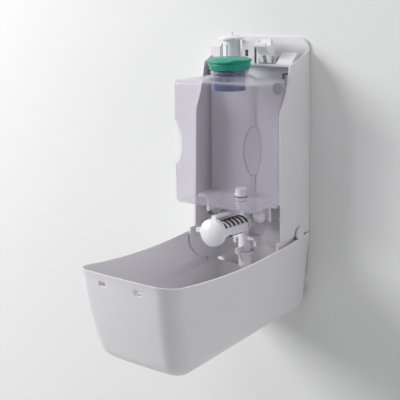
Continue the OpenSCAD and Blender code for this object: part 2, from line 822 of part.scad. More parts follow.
// Long round cuts across the front corners, where fingers hold the bottle
module grips(inset) {
    k = (grip_r - grip_cut) / sqrt(2);
    both_sides() translate([bottle_w / 2 + k, -bottle_front_d - k, grip_h])
        rotate([0, 0, 45]) rotate([0, 90, 0])
            cylinder(r = grip_r + inset, h = far, center = true, $fn = 128);
}

module bottle() on_wall() color("#B9B0C6", 0.5) difference() {
    union() {
        difference() {
            bottle_block(0);
            grips(0);
        }
        translate([0, neck_y, shoulder_h]) cylinder(d = neck_d, h = neck_top_h - shoulder_h);
        translate([0, neck_y, neck_top_h - 8]) cylinder(d = neck_d + 2.6, h = 2);
    }
    difference() {
        bottle_block(bottle_wall);
        grips(bottle_wall);
    }
    translate([0, neck_y, shoulder_h - 4])
        cylinder(d = neck_d - 2 * neck_wall, h = neck_top_h - shoulder_h + 5);
    translate([0, port_y, bottle_base_h - 1]) cylinder(r = port_r + 1.3 + run, h = bottle_wall + 2);
}

module bottle_outlet() on_wall() color("whitesmoke") translate([0, port_y, bottle_base_h]) difference() {
    union() {
        translate([0, 0, -port_drop]) cylinder(r = port_r + 1.3, h = port_l);
        translate([0, 0, bottle_wall + 1.2]) cylinder(r = port_r + 2.3, h = 1.8);
    }
    translate([0, 0, -port_drop - 1]) cylinder(r = port_r, h = port_l);
    translate([0, 0, -port_drop - 1]) cylinder(r = 1.5, h = port_l + 2);
}

module outlet_gasket() on_wall() color("dimgray") translate([0, port_y, bottle_base_h + bottle_wall])
    difference() {
        cylinder(r = port_r + 2.3, h = 1.2);
        translate([0, 0, -1]) cylinder(r = port_r + 1.3 + run, h = 4);
    }

// Strainer cup that hangs in the neck
module neck_insert() on_wall() color("#123A7A") translate([0, neck_y, neck_top_h]) {
    r = neck_d / 2 - neck_wall - slip;
    cup_l = 26;
    difference() {
        union() {
            translate([0, 0, -cup_l]) cylinder(r = r, h = cup_l + lip_t);
            cylinder(r = r + neck_wall, h = lip_t);
        }
        translate([0, 0, 1.2 - cup_l]) cylinder(r = r - 1.2, h = cup_l + 2);
        for (a = [0 : 60 : 300]) rotate(a) translate([r / 2, 0, -cup_l - 1]) cylinder(r = 1.5, h = 3);
    }
}

module cap_gasket() on_wall() color("dimgray") translate([0, neck_y, neck_top_h + lip_t]) difference() {
    cylinder(r = neck_d / 2 - 0.3, h = gasket_t);
    translate([0, 0, -1]) cylinder(r = neck_d / 2 - neck_wall - 1, h = 3);
}

module filler_cap() on_wall() color("#1FA088") translate([0, neck_y, cap_under_h]) difference() {
    skirt_r = neck_d / 2 + skirt_gap + 1.3;
    union() {
        cylinder(r = cap_d / 2, h = cap_plate_t);
        cylinder(r = cap_disc_r, h = cap_plate_t + cap_disc_t);
        translate([0, 0, -skirt_l]) cylinder(r = skirt_r + skirt_t, h = skirt_l + 1);
    }
    translate([0, 0, -skirt_l - 1]) cylinder(r = skirt_r, h = skirt_l + 1);
    translate([0, 0, -1]) cylinder(r = cap_disc_r - 2, h = cap_plate_t + cap_disc_t - 1);
    translate([0, 0, -1]) cylinder(r = 0.8, h = 20);
}

back_plate();
carrier_frame();
latch_bracket();
hinge_pins();
bottle_clips();
pump_holder();
pump_body();
inlet_spigot();
inlet_seal();
inlet_ball();
outlet_tube();
outlet_valve();
pump_spring();
button_spring();
hook_pin();
cover_shell();
catch_bar();
panel_pins();
push_panel();
push_dome();
plunger_rod();
piston();
piston_seal();
lock_button();
latch_hook();
bottle();
bottle_outlet();
outlet_gasket();
neck_insert();
cap_gasket();
filler_cap();
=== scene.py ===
"""Wall mounted soap dispenser with its front cover swung down: finished pieces, materials and stage.

Everything is in metres in the frame of the CAD part: +Z up, -Y out of the wall, +X to the right.
"""

import json
import math

import bmesh
import bpy
from bpy.props import FloatProperty, FloatVectorProperty, IntProperty, PointerProperty
from mathutils import Matrix, Vector


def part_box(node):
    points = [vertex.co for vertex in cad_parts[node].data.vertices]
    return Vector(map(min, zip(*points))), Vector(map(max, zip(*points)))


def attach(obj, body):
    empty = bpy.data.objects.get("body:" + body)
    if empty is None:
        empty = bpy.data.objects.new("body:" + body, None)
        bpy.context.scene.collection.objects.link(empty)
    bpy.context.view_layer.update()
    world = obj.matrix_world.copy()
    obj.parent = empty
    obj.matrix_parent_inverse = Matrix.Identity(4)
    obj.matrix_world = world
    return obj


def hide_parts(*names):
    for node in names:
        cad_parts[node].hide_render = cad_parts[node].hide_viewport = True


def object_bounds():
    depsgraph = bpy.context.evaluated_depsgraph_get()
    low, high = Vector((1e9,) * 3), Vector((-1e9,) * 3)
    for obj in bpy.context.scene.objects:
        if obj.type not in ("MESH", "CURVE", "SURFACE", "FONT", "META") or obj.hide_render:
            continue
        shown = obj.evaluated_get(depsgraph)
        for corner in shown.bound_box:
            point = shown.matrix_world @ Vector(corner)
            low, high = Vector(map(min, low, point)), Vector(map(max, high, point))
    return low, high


bl_info = {
    "name": "Soap dispenser finish",
    "version": (1, 0, 0),
    "blender": (4, 5, 0),
    "location": "3D View > Sidebar > Dispenser",
    "description": "Finished cover, bottle, cap, springs and materials for a wall mounted soap dispenser",
    "category": "Object",
}

MM = 0.001

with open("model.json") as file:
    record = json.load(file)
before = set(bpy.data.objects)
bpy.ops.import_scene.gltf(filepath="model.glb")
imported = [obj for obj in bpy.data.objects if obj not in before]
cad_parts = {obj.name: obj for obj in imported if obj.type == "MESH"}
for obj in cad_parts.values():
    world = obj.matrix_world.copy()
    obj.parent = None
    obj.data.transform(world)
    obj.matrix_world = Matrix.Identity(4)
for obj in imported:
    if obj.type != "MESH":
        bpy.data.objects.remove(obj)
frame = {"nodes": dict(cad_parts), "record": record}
CAD_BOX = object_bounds()
JOINTS = {joint["name"]: joint for joint in frame["record"]["behaviour"]["joints"]}
HINGE = Vector(JOINTS["cover_swing"]["pos_m"])
PUMP_AXIS = -Vector(JOINTS["pump_press"]["axis"]).normalized()


def linear(hex_code):
    """An sRGB hex colour as linear red, green and blue."""
    channels = [int(hex_code[i : i + 2], 16) / 255 for i in (1, 3, 5)]
    return tuple(c / 12.92 if c <= 0.04045 else ((c + 0.055) / 1.055) ** 2.4 for c in channels)


def cad_box(node):
    """Lowest and highest corner of a CAD node, and its middle."""
    low, high = (Vector(corner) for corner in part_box(node))
    return low, high, (low + high) / 2


# ---- settings a user would change ----


class CoverSettings(bpy.types.PropertyGroup):
    """Sizes of the swing-down cover"""

    wall: FloatProperty(
        name="Wall", description="Thickness of the cover", default=2.2 * MM, unit="LENGTH"
    )
    corner: FloatProperty(
        name="Corners",
        description="Radius of the free end's uprights and of the floor's edge",
        default=18 * MM,
        unit="LENGTH",
    )
    rim_rise: FloatProperty(
        name="Rim rise", description="Rise of the rim towards the free end", default=8 * MM, unit="LENGTH"
    )


class BottleSettings(bpy.types.PropertyGroup):
    """Sizes and colour of the refill bottle"""

    wall: FloatProperty(
        name="Wall", description="Thickness of the bottle", default=1.2 * MM, unit="LENGTH"
    )
    corner: FloatProperty(
        name="Corners", description="Radius of the upright corners", default=9 * MM, unit="LENGTH"
    )
    grip: FloatProperty(
        name="Grip depth", description="Depth of the finger grips", default=9.5 * MM, unit="LENGTH"
    )
    tint: FloatVectorProperty(
        name="Tint", description="Colour of the clear plastic", default=linear("#E6E4EC"), subtype="COLOR"
    )


class PlasticSettings(bpy.types.PropertyGroup):
    """Colours of the moulded parts"""

    shell: FloatVectorProperty(
        name="Shell", description="Cover and wall plate", default=linear("#E8E6EA"), subtype="COLOR"
    )
    inside: FloatVectorProperty(
        name="Frame", description="Frame behind the bottle", default=linear("#E2E0E3"), subtype="COLOR"
    )
    pump: FloatVectorProperty(
        name="Pump", description="Pump and latch parts", default=linear("#EFEFF1"), subtype="COLOR"
    )
    cap: FloatVectorProperty(
        name="Cap", description="Filler cap", default=linear("#0F9C82"), subtype="COLOR"
    )


class SpringSettings(bpy.types.PropertyGroup):
    """Coils of the springs"""

    turns: IntProperty(name="Turns", description="Turns of the pump spring", default=6, min=3)
    wire: FloatProperty(
        name="Wire", description="Wire diameter of the pump spring", default=1.8 * MM, unit="LENGTH"
    )


class DispenserSettings(bpy.types.PropertyGroup):
    """All settings of the dispenser"""

    cover: PointerProperty(type=CoverSettings, name="Cover", description="Cover sizes")
    bottle: PointerProperty(type=BottleSettings, name="Bottle", description="Bottle sizes")
    plastic: PointerProperty(type=PlasticSettings, name="Plastics", description="Plastic colours")
    spring: PointerProperty(type=SpringSettings, name="Springs", description="Spring coils")


# ---- mesh helpers ----


def object_from(bm, name):
    """Turns a bmesh into a linked object whose faces point outwards."""
    bmesh.ops.remove_doubles(bm, verts=bm.verts, dist=0.001 * MM)
    bmesh.ops.recalc_face_normals(bm, faces=bm.faces)
    mesh = bpy.data.meshes.new(name)
    bm.to_mesh(mesh)
    bm.free()
    piece = bpy.data.objects.new(name, mesh)
    bpy.context.scene.collection.objects.link(piece)
    return piece


def add_modifier(piece, kind, **settings):
    """Adds a modifier with its settings."""
    modifier = piece.modifiers.new(kind.title(), kind)
    for key, value in settings.items():
        setattr(modifier, key, value)
    return modifier


def settle(piece, sharp_angle=35):
    """Applies the piece's modifiers and shades it smooth up to sharp_angle degrees."""
    bpy.context.view_layer.update()
    shaped = piece.evaluated_get(bpy.context.evaluated_depsgraph_get())
    mesh = bpy.data.meshes.new_from_object(shaped)
    piece.modifiers.clear()
    piece.data = mesh
    mesh.name = piece.name
    mesh.polygons.foreach_set("use_smooth", [True] * len(mesh.polygons))
    mesh.set_sharp_from_angle(angle=math.radians(sharp_angle))
    return piece


def combine(piece, cutter, operation="DIFFERENCE"):
    """Cuts a cutter out of a piece, or joins it on, and removes the cutter."""
    add_modifier(piece, "BOOLEAN", object=cutter, operation=operation, solver="EXACT")
    settle(piece)
    bpy.data.objects.remove(cutter)
    return piece


def block(name, low, high, edge, segments=3):
    """A box from corner low to corner high with rounded edges."""
    low, high = Vector(low), Vector(high)
    bm = bmesh.new()
    bmesh.ops.create_cube(bm, size=1)
    bmesh.ops.scale(bm, vec=high - low, verts=bm.verts)
    bmesh.ops.translate(bm, vec=(low + high) / 2, verts=bm.verts)
    bmesh.ops.bevel(
        bm, geom=bm.edges[:], offset=edge, segments=segments, profile=0.5, material=-1, affect="EDGES"
    )
    return object_from(bm, name)


def turned(name, outline, steps=96):
    """A solid turned about Z from an outline of (radius, height) points that starts and ends on the axis."""
    bm = bmesh.new()
    verts = [bm.verts.new((radius, 0, height)) for radius, height in outline]
    edges = [bm.edges.new(pair) for pair in zip(verts, verts[1:])]
    bmesh.ops.spin(
        bm, geom=verts + edges, cent=(0, 0, 0), axis=(0, 0, 1), angle=math.tau, steps=steps, use_merge=True
    )
    return object_from(bm, name)


def placed(piece, matrix):
    """Moves the mesh of a piece, leaving its object at the origin."""
    piece.data.transform(matrix)
    return piece


def arc(centre, radius, start, end, steps):
    """Points on an arc in (radius, height) coordinates, from start to end degrees."""
    angles = [math.radians(start + (end - start) * i / steps) for i in range(steps + 1)]
    return [(centre[0] + radius * math.cos(a), centre[1] + radius * math.sin(a)) for a in angles]


def dress(piece, material, body, slot, *replaced):
    """Gives a piece its material, its body and the CAD nodes it stands for. Its slot argument is not used."""
    piece.data.materials.clear()
    piece.data.materials.append(material)
    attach(piece, body)
    if replaced:
        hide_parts(*replaced)


def cover_nodes(material, *nodes):
    """Gives a material to CAD nodes that keep their own shape."""
    for name in nodes:
        mesh = frame["nodes"][name].data
        mesh.materials.clear()
        mesh.materials.append(material)


# ---- materials ----

FLOW_LENGTH = 45 * MM  # size of the faint clouds that the flow of plastic leaves
GRAIN_DEPTH = 0.01 * MM  # of the spark-eroded grain
MOULDED_EDGE = 0.35 * MM  # radius that a mould leaves on every edge
WAVE_LENGTH = 22 * MM  # of the waves that blowing leaves in the bottle
WAVE_DEPTH = 0.5 * MM
SCUFF_SIZE = 4 * MM
STEEL_SPECK = 0.6 * MM  # size of the specks on drawn steel, coarse enough to show


def add_node(material, kind, inputs=None, **options):
    """Adds a shader node, sets its options, and fills its inputs with values or links."""
    tree = material.node_tree
    new = tree.nodes.new(kind)
    for key, value in options.items():
        setattr(new, key, value)
    for key, value in (inputs or {}).items():
        if isinstance(value, bpy.types.NodeSocket):
            tree.links.new(value, new.inputs[key])
        else:
            new.inputs[key].default_value = value
    return new


def blank_material(name):
    """An empty node material and its object coordinates."""
    material = bpy.data.materials.new(name)
    material.use_nodes = True
    material.node_tree.nodes.clear()
    return material, add_node(material, "ShaderNodeTexCoord").outputs["Object"]


def close_material(material, shader):
    """Links a shader to the material's output."""
    add_node(material, "ShaderNodeOutputMaterial", {"Surface": shader.outputs[0]})
    return material


def moulded(name, colour, roughness, grain=0.5 * MM, clouds=0.03):
    """Injection-moulded plastic: an even colour with faint flow clouds, a fine spark-eroded grain
    that breaks up the highlights, and slightly rounded edges."""
    material, place = blank_material(name)
    flow = add_node(material, "ShaderNodeTexNoise", {"Vector": place, "Scale": 1 / FLOW_LENGTH, "Detail": 2})
    darker = tuple(c * (1 - clouds * 2) for c in colour) + (1,)
    tone = add_node(
        material,
        "ShaderNodeMixRGB",
        {"Fac": flow.outputs["Fac"], "Color1": darker, "Color2": tuple(colour) + (1,)},
    )
    spark = add_node(material, "ShaderNodeTexNoise", {"Vector": place, "Scale": 1 / grain, "Detail": 2})
    gloss = add_node(
        material,
        "ShaderNodeMapRange",
        {"Value": spark.outputs["Fac"], "To Min": roughness - 0.04, "To Max": roughness + 0.04},
    )
    rounded = add_node(material, "ShaderNodeBevel", {"Radius": MOULDED_EDGE}, samples=4)
    bump = add_node(
        material,
        "ShaderNodeBump",
        {
            "Height": spark.outputs["Fac"],
            "Strength": 0.35,
            "Distance": GRAIN_DEPTH,
            "Normal": rounded.outputs["Normal"],
        },
    )
    inputs = {
        "Base Color": tone.outputs["Color"],
        "Roughness": gloss.outputs["Result"],
        "Normal": bump.outputs["Normal"],
        "IOR": 1.52,
    }
    return close_material(material, add_node(material, "ShaderNodeBsdfPrincipled", inputs))


def clear_petg(name, tint):
    """Blow-moulded clear PETG seen as a thin wall: light passes unbent, the skin is glossy with a lilac
    cast and shows more where the wall turns away, and blowing leaves faint waves."""
    material, place = blank_material(name)
    waves = add_node(material, "ShaderNodeTexNoise", {"Vector": place, "Scale": 1 / WAVE_LENGTH, "Detail": 1})
    scuffs = add_node(material, "ShaderNodeTexNoise", {"Vector": place, "Scale": 1 / SCUFF_SIZE, "Detail": 4})
    gloss = add_node(
        material,
        "ShaderNodeMapRange",
        {"Value": scuffs.outputs["Fac"], "To Min": 0.08, "To Max": 0.2},
    )
    bump = add_node(
        material,
        "ShaderNodeBump",
        {"Height": waves.outputs["Fac"], "Strength": 0.4, "Distance": WAVE_DEPTH},
    )
    turned_away = add_node(
        material, "ShaderNodeLayerWeight", {"Blend": 0.35, "Normal": bump.outputs["Normal"]}
    )
    density = add_node(
        material,
        "ShaderNodeMapRange",
        {"Value": turned_away.outputs["Facing"], "From Min": 0.15, "To Min": 0.07, "To Max": 0.62},
    )
    skin = add_node(
        material,
        "ShaderNodeBsdfPrincipled",
        {
            "Base Color": tuple(tint) + (1,),
            "Roughness": gloss.outputs["Result"],
            "Specular IOR Level": 1.0,
            "IOR": 1.57,
            "Normal": bump.outputs["Normal"],
        },
    )
    see_through = add_node(material, "ShaderNodeBsdfTransparent", {"Color": linear("#FDFCFE") + (1,)})
    both = add_node(
        material,
        "ShaderNodeMixShader",
        {0: density.outputs["Result"], 1: see_through.outputs[0], 2: skin.outputs[0]},
    )
    return close_material(material, both)


def drawn_steel(name):
    """Drawn steel wire and rod: a grey metal whose tone and gloss vary in fine specks."""
    material, place = blank_material(name)
    specks = add_node(
        material, "ShaderNodeTexNoise", {"Vector": place, "Scale": 1 / STEEL_SPECK, "Detail": 3}
    )
    gloss = add_node(
        material, "ShaderNodeMapRange", {"Value": specks.outputs["Fac"], "To Min": 0.22, "To Max": 0.4}
    )
    tone = add_node(
        material,
        "ShaderNodeMixRGB",
        {
            "Fac": specks.outputs["Fac"],
            "Color1": linear("#9A9A9C") + (1,),
            "Color2": linear("#C9C9CB") + (1,),
        },
    )
    shader = add_node(
        material,
        "ShaderNodeBsdfPrincipled",
        {"Base Color": tone.outputs["Color"], "Metallic": 1.0, "Roughness": gloss.outputs["Result"]},
    )
    return close_material(material, shader)


def build_materials(settings):
    """Makes every material once, by the name of what it is."""
    plastic = settings.plastic
    return {
        # ABS, moulded with a satin texture: the visible casing
        "shell": moulded("moulded_abs_casing", plastic.shell, 0.42),
        # ABS, moulded smooth: frame parts behind the bottle
        "frame": moulded("moulded_abs_frame", plastic.inside, 0.36),
        # Natural white polypropylene, moulded: whiter and glossier than the casing
        "pump": moulded("moulded_polypropylene_pump", plastic.pump, 0.3),
        # Coloured polypropylene, moulded glossy
        "cap": moulded("moulded_polypropylene_cap", plastic.cap, 0.34),
        # Dark blue polyethylene, moulded: smooth and a little waxy
        "insert": moulded("moulded_polyethylene_insert", linear("#0C2F6E"), 0.3),
        # Grey acetal, moulded: satin and dense
        "clip": moulded("moulded_acetal_clip", linear("#6A666C"), 0.4),
        # Epoxy-coated spring wire: near black with a soft sheen
        "black_wire": moulded("epoxy_coated_spring_wire", linear("#101012"), 0.32, clouds=0.1),
        # Nitrile rubber, compression moulded: matt and dark
        "rubber": moulded("moulded_nitrile_rubber", linear("#2B2B2D"), 0.62, grain=0.8 * MM),
        # Silicone rubber: pale and matt
        "silicone": moulded("moulded_silicone_rubber", linear("#D8D8D2"), 0.55),
        # Drawn steel rod and wire: bright grey with fine specks
        "steel": drawn_steel("drawn_steel"),
        # Blown clear PETG: a see-through wall with a glossy skin
        "petg": clear_petg("blown_clear_petg", settings.bottle.tint),
    }


MATERIALS = {}


def finish_of(name):
    """A finished material, made on first use."""
    if not MATERIALS:
        MATERIALS.update(build_materials(bpy.context.scene.dispenser))
    return MATERIALS[name]


# ---- cover ----

COVER_DEPTH = 95.5 * MM
RIM_BELOW_HINGE = 3 * MM
RIM_LOW = 105 * MM  # the sagging rim is lowest this far from the wall
RIM_DIP = 6 * MM  # sag below its height at the hinge
RIM_SPARE = 4 * MM  # the block stands this far above the rim before it is cut
# how far each wall leans over the cover's depth
TIP_LEAN = 23 * MM
BACK_LEAN = 4 * MM
SIDE_LEAN = 6 * MM
TIP_NARROWING = 5.8 * MM  # each side, from the hinge to the free end
TIP_BULGE = 3 * MM  # the free end bows out across its width
WALL_BOW = 4 * MM  # and halfway down
SIDE_BOW = 0.4  # share of that bow in the side walls
BOW_STRIPS = 24
CHIN_HALF = 59.3 * MM
CHIN_CORNER = 4 * MM
CHIN_DROP = 57 * MM  # the lower end is open up from this far below the hinge axis
PANEL_GAP = 1 * MM
PANEL_CORNER = 8 * MM
SLOT_SIZE = Vector((9, 0, 5)) * MM
SLOT_CORNER = 0.8 * MM
SLOT_DROP = 11 * MM  # below the rim at the free end
EAR_RADIUS = 7.5 * MM
EAR_INSET = 0.45 * MM  # keeps the ears inside the side walls
CUT_SPARE = 20 * MM  # how far the cutters reach past what they cut
RIM_BEVEL = 0.5 * MM


def rim_height(y, rim_z, tip_y, rise):
    """Height of the rim's edge: a wide arc, lowest at RIM_LOW, that rises to the free end."""
    reach = -tip_y - RIM_LOW
    lift = rise + RIM_DIP
    radius = (reach * reach + lift * lift) / 2 / lift
    along = -y - RIM_LOW
    height = rim_z - RIM_DIP + radius - math.sqrt(radius * radius - along * along)
    return height if along > 0 else min(height, rim_z)


def make_cover_solid(settings, inset):
    """The cover as a solid block, its rim still square; inset draws every face inwards for the hollow."""
    low, high, _ = cad_box("cover_shell")
    rim_z = HINGE.z - RIM_BELOW_HINGE
    over = settings.rim_rise + RIM_SPARE
    floor_z = low.z + inset
    top_z = rim_z + over + inset
    half_back = high.x - inset
    half_tip = half_back - TIP_NARROWING
    back_y = high.y - inset
    tip_y = low.y + TIP_BULGE + TIP_LEAN * settings.rim_rise / COVER_DEPTH + inset
    bm = bmesh.new()
    bmesh.ops.create_cube(bm, size=2)
    for v in bm.verts:
        x, y, z = v.co
        height = top_z if z > 0 else floor_z
        out = (height - rim_z) / COVER_DEPTH
        half = (half_back if y > 0 else half_tip) + SIDE_LEAN * out
        end = back_y + BACK_LEAN * out if y > 0 else tip_y - TIP_LEAN * out
        v.co = (x * half, end, height)
    # round the tip's uprights and the whole edge of the floor together, so the corners become balls
    middle_y = (back_y + tip_y) / 2
    at_floor = {v for v in bm.verts if v.co.z < floor_z + MM}
    at_tip = {v for v in bm.verts if v.co.y < middle_y}
    rounded = [
        e
        for e in bm.edges
        if at_floor.issuperset(e.verts) or (at_tip.issuperset(e.verts) and not at_floor.isdisjoint(e.verts))
    ]
    rounding = {"profile": 0.5, "material": -1, "affect": "EDGES"}
    bmesh.ops.bevel(bm, geom=rounded, offset=settings.corner - inset, segments=14, **rounding)
    # the free end bows out across its width, and it and the side walls bow out over their height
    for i in range(1, BOW_STRIPS):
        share = i / BOW_STRIPS
        cut_x = (2 * share - 1) * (half_tip - SIDE_LEAN)
        cut_z = floor_z + share * (top_z - floor_z)
        for at, facing in (((cut_x, 0, 0), (1, 0, 0)), ((0, 0, cut_z), (0, 0, 1))):
            bmesh.ops.bisect_plane(
                bm, geom=bm.verts[:] + bm.edges[:] + bm.faces[:], plane_co=at, plane_no=facing
            )
    for v in bm.verts:
        level = (v.co.z - floor_z) / (rim_z - floor_z)
        swell = WALL_BOW * max(0.0, 4 * level * (1 - level))
        outward = v.co.y / tip_y
        v.co.x *= 1 + SIDE_BOW * swell * outward / half_tip
        if v.co.y < tip_y + 2 * TIP_LEAN:
            v.co.y -= TIP_BULGE * max(0.0, 1 - (v.co.x / half_tip) ** 2) + swell
    bmesh.ops.triangulate(bm, faces=bm.faces)
    return object_from(bm, "cover")


def make_rim_cut(rim_z, tip_y, rise):
    """The cutter above the rim: its underside follows the rim's curve from the hinge to the free end."""
    steps = 48
    half = 100 * MM
    top = rim_z + 60 * MM
    start, end = CUT_SPARE, tip_y - 2 * CUT_SPARE
    bm = bmesh.new()
    verts = []
    for i in range(steps + 1):
        y = start + (end - start) * i / steps
        verts.append(bm.verts.new((-half, y, rim_height(y, rim_z, tip_y, rise))))
    verts.append(bm.verts.new((-half, end, top)))
    verts.append(bm.verts.new((-half, start, top)))
    side = bm.faces.new(verts)
    swept = bmesh.ops.extrude_face_region(bm, geom=[side])
    moved = [g for g in swept["geom"] if isinstance(g, bmesh.types.BMVert)]
    bmesh.ops.translate(bm, vec=(2 * half, 0, 0), verts=moved)
    return object_from(bm, "rim_cut")


class DISPENSER_OT_cover(bpy.types.Operator):
    """Makes the swing-down cover with its key slots and openings"""

    bl_idname = "dispenser.cover"
    bl_label = "Cover"

    def execute(self, context):
        settings = context.scene.dispenser.cover
        low, high, _ = cad_box("cover_shell")
        rim_z = HINGE.z - RIM_BELOW_HINGE
        piece = make_cover_solid(settings, 0)
        combine(piece, make_cover_solid(settings, settings.wall))
        combine(piece, make_rim_cut(rim_z, low.y, settings.rim_rise))
        spare = Vector((0, 0, CUT_SPARE))
        # the lower end is open around the foot of the wall plate
        chin_low = (-CHIN_HALF, HINGE.y, HINGE.z - CHIN_DROP)
        chin_high = (CHIN_HALF, CUT_SPARE, HINGE.z + 2 * CUT_SPARE)
        combine(piece, block("chin_cut", chin_low, chin_high, CHIN_CORNER))
        # opening of the push panel
        panel_low, panel_high, _ = cad_box("push_panel")
        gap = Vector((PANEL_GAP, PANEL_GAP, 0))
        panel_low.z = panel_high.z = low.z
        opening = block("panel_cut", panel_low - gap - spare, panel_high + gap + spare, PANEL_CORNER, 6)
        combine(piece, opening)
        # key slots in the free end
        slot = Vector((JOINTS["hook_tilt"]["pos_m"][0], low.y, rim_z + settings.rim_rise - SLOT_DROP))
        reach = Vector((0, 1.5 * CUT_SPARE, 0))
        for side in (-1, 1):
            middle = Vector((side * slot.x, slot.y, slot.z))
            slot_low, slot_high = middle - reach - SLOT_SIZE / 2, middle + reach + SLOT_SIZE / 2
            combine(piece, block("slot_cut", slot_low, slot_high, SLOT_CORNER))
        # ears round the hinge pins
        for side in (-1, 1):
            combine(piece, make_ear(side, high.x - EAR_INSET, settings.wall), "UNION")
        add_modifier(
            piece, "BEVEL", width=RIM_BEVEL, segments=2, limit_method="ANGLE", angle_limit=math.radians(40)
        )
        settle(piece, 40)
        dress(piece, finish_of("shell"), "cover", "shell_white", "cover_shell")
        return {"FINISHED"}


def make_ear(side, face_x, wall):
    """A round ear on the side wall that takes a hinge pin."""
    bm = bmesh.new()
    bmesh.ops.create_cone(
        bm, cap_ends=True, segments=48, radius1=EAR_RADIUS, radius2=EAR_RADIUS, depth=wall
    )
    bmesh.ops.rotate(bm, cent=(0, 0, 0), matrix=Matrix.Rotation(math.pi / 2, 3, "Y"), verts=bm.verts)
    bmesh.ops.translate(bm, vec=(side * (face_x - wall / 2), HINGE.y, HINGE.z), verts=bm.verts)
    return object_from(bm, "ear")


# ---- bottle ----

BOTTLE_EDGE = 5 * MM  # radius round the base and round the flat top
BOTTLE_BLEND = 2.2 * MM  # softens the joins of shoulder, neck and grips
SHOULDER_FOOT = 48 * MM  # radius at the foot, over the width
SHOULDER_TOP = 22 * MM
SHOULDER_SLOPE = 8 * MM  # height of the slope
SHOULDER_LIFT = 0.6 * MM  # middle of the slope above the flat top
SHOULDER_FLATTENING = 0.58  # depth of the foot over its width
NECK_RADIUS = 19.5 * MM
NECK_RISE = 15 * MM  # above the flat top
NECK_ROOT = 6 * MM  # reaches this far below it
NECK_LIP = 0.4 * MM
BEAD_RADIUS = 1 * MM
BEAD_HEIGHT = 7.6 * MM
GRIP_RADIUS = 57 * MM
GRIP_HEIGHT = 66 * MM  # above the base
GRIP_LENGTH = 200 * MM


class DISPENSER_OT_bottle(bpy.types.Operator):
    """Makes the clear refill bottle with its finger grips, sloping shoulders and neck"""

    bl_idname = "dispenser.bottle"
    bl_label = "Refill bottle"

    def execute(self, context):
        settings = context.scene.dispenser.bottle
        low, high, middle = cad_box("bottle")
        neck = cad_box("neck_insert")[2]
        shoulder_z = high.z - NECK_RISE
        bm = bmesh.new()
        bmesh.ops.create_cube(bm, size=2)
        for v in bm.verts:
            x, y, z = v.co
            v.co = (high.x * x, middle.y + (high.y - low.y) / 2 * y, shoulder_z if z > 0 else low.z)
        upright = [e for e in bm.edges if abs(e.verts[0].co.z - e.verts[1].co.z) > MM]
        bmesh.ops.bevel(
            bm, geom=upright, offset=settings.corner, segments=12, profile=0.5, material=-1, affect="EDGES"
        )
        rings = [e for e in bm.edges if abs(e.verts[0].co.z - e.verts[1].co.z) < MM]
        bmesh.ops.bevel(
            bm, geom=rings, offset=BOTTLE_EDGE, segments=6, profile=0.5, material=-1, affect="EDGES"
        )
        piece = object_from(bm, "refill_bottle")
        # shoulders that rise to the neck
        bm = bmesh.new()
        bmesh.ops.create_cone(
            bm,
            cap_ends=True,
            segments=96,
            radius1=SHOULDER_FOOT,
            radius2=SHOULDER_TOP,
            depth=SHOULDER_SLOPE,
        )
        for v in bm.verts:
            if v.co.z < 0:
                v.co.y *= SHOULDER_FLATTENING
        bmesh.ops.translate(bm, vec=(0, neck.y, shoulder_z + SHOULDER_LIFT), verts=bm.verts)
        combine(piece, object_from(bm, "shoulder"), "UNION")
        outline = [(0, -NECK_ROOT), (NECK_RADIUS, -NECK_ROOT)]
        outline += [(NECK_RADIUS, BEAD_HEIGHT - BEAD_RADIUS)]
        outline += arc((NECK_RADIUS, BEAD_HEIGHT), BEAD_RADIUS, -90, 90, 8)[1:-1]
        outline += [(NECK_RADIUS, BEAD_HEIGHT + BEAD_RADIUS), (NECK_RADIUS, NECK_RISE - NECK_LIP)]
        outline += [(NECK_RADIUS - NECK_LIP, NECK_RISE), (0, NECK_RISE)]
        stem = placed(turned("neck", outline), Matrix.Translation((0, neck.y, shoulder_z)))
        combine(piece, stem, "UNION")
        for side in (-1, 1):
            combine(piece, make_grip(side, low, high, settings.grip))
        add_modifier(
            piece, "BEVEL", width=BOTTLE_BLEND, segments=4, limit_method="ANGLE", angle_limit=math.radians(20)
        )
        settle(piece)
        add_modifier(piece, "SOLIDIFY", thickness=settings.wall, offset=-1)
        settle(piece, 60)
        dress(piece, finish_of("petg"), "refill", "bottle_clear", "bottle")
        return {"FINISHED"}


def make_grip(side, low, high, depth):
    """The cutter of one finger grip: a wide roller laid across a front corner."""
    out = (GRIP_RADIUS - depth) / math.sqrt(2)
    grip_z = low.z + GRIP_HEIGHT
    bm = bmesh.new()
    bmesh.ops.create_cone(
        bm, cap_ends=True, segments=128, radius1=GRIP_RADIUS, radius2=GRIP_RADIUS, depth=GRIP_LENGTH
    )
    bmesh.ops.rotate(bm, cent=(0, 0, 0), matrix=Matrix.Rotation(math.pi / 2, 3, "Y"), verts=bm.verts)
    bmesh.ops.rotate(
        bm, cent=(0, 0, 0), matrix=Matrix.Rotation(side * math.pi / 4, 3, "Z"), verts=bm.verts
    )
    bmesh.ops.translate(bm, vec=(side * (high.x + out), low.y - out, grip_z), verts=bm.verts)
    return object_from(bm, "grip_cut")


# ---- filler cap ----

# insets are measured inwards from the flange's rim, drops down from the flange's top
DISC_RISE = 1.4 * MM  # the disc stands this far above the flange
DISC_INSET = 6 * MM
FLANGE_ROUND = 1.2 * MM
FLANGE_DROP = 4 * MM  # foot of its slanting underside
GROOVE_INSET = 2 * MM
RIB_RADIUS = 1 * MM  # round rib below the groove
RIB_SUNK = 0.2 * MM
RIB_DROP = 6 * MM
SKIRT_INSET = 2.4 * MM
SKIRT_DROP = 8 * MM
SKIRT_TAPER = 0.6 * MM
SKIRT_WALL = 1.6 * MM
ROOF_DROP = 5 * MM
